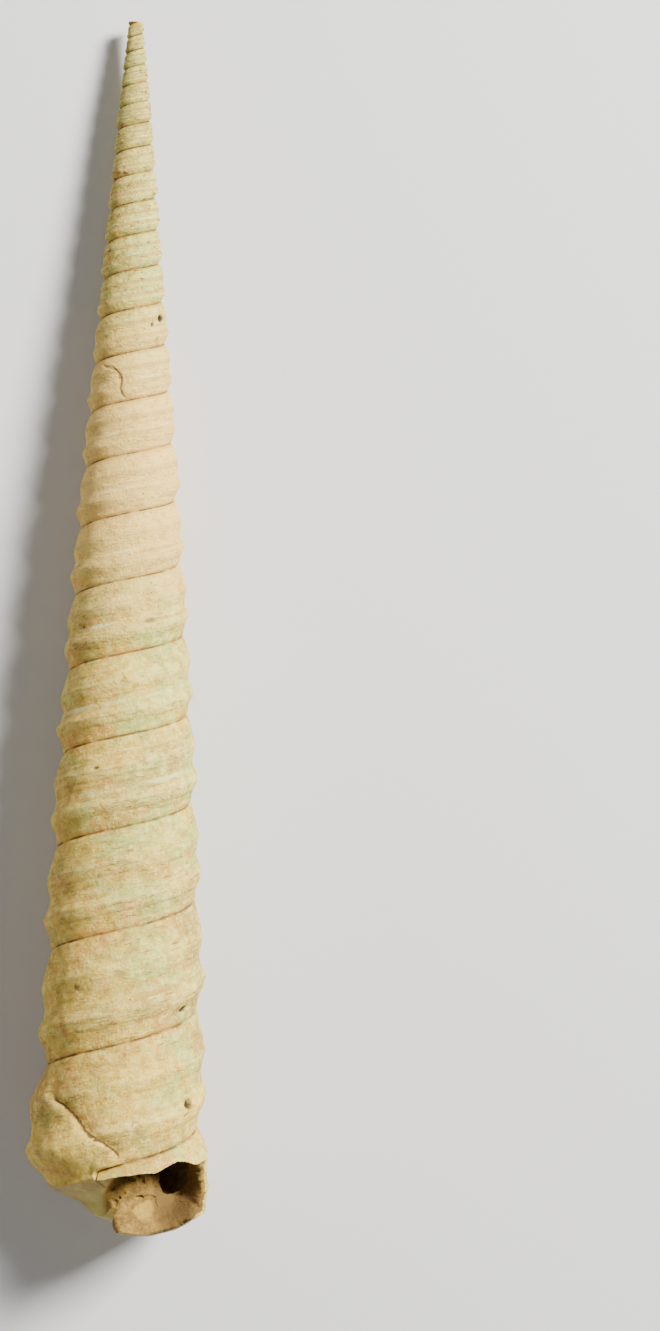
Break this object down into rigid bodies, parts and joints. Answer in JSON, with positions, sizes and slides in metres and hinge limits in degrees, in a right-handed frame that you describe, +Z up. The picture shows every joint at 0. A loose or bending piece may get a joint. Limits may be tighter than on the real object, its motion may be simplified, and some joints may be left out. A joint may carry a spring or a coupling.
{
  "type": "fossil turret snail shell",
  "caption": "A loose fossil turret shell, tall and right-handed, lying on its back with its broken mouth facing up.",
  "frame": {"origin": "on the floor under the middle of the shell's bounding box", "axes": "+Y along the shell towards the point of the spire, +Z up out of the mouth, +X to the right seen from above with the point away"},
  "size_m": [0.019, 0.1262, 0.018],
  "materials": {
    "fossil_shell": "matte, weathered, cream and tan mottled with green and pink-brown"
  },
  "bodies": {
    "root": {"shell": "fossil_shell"}
  },
  "joints": []
}
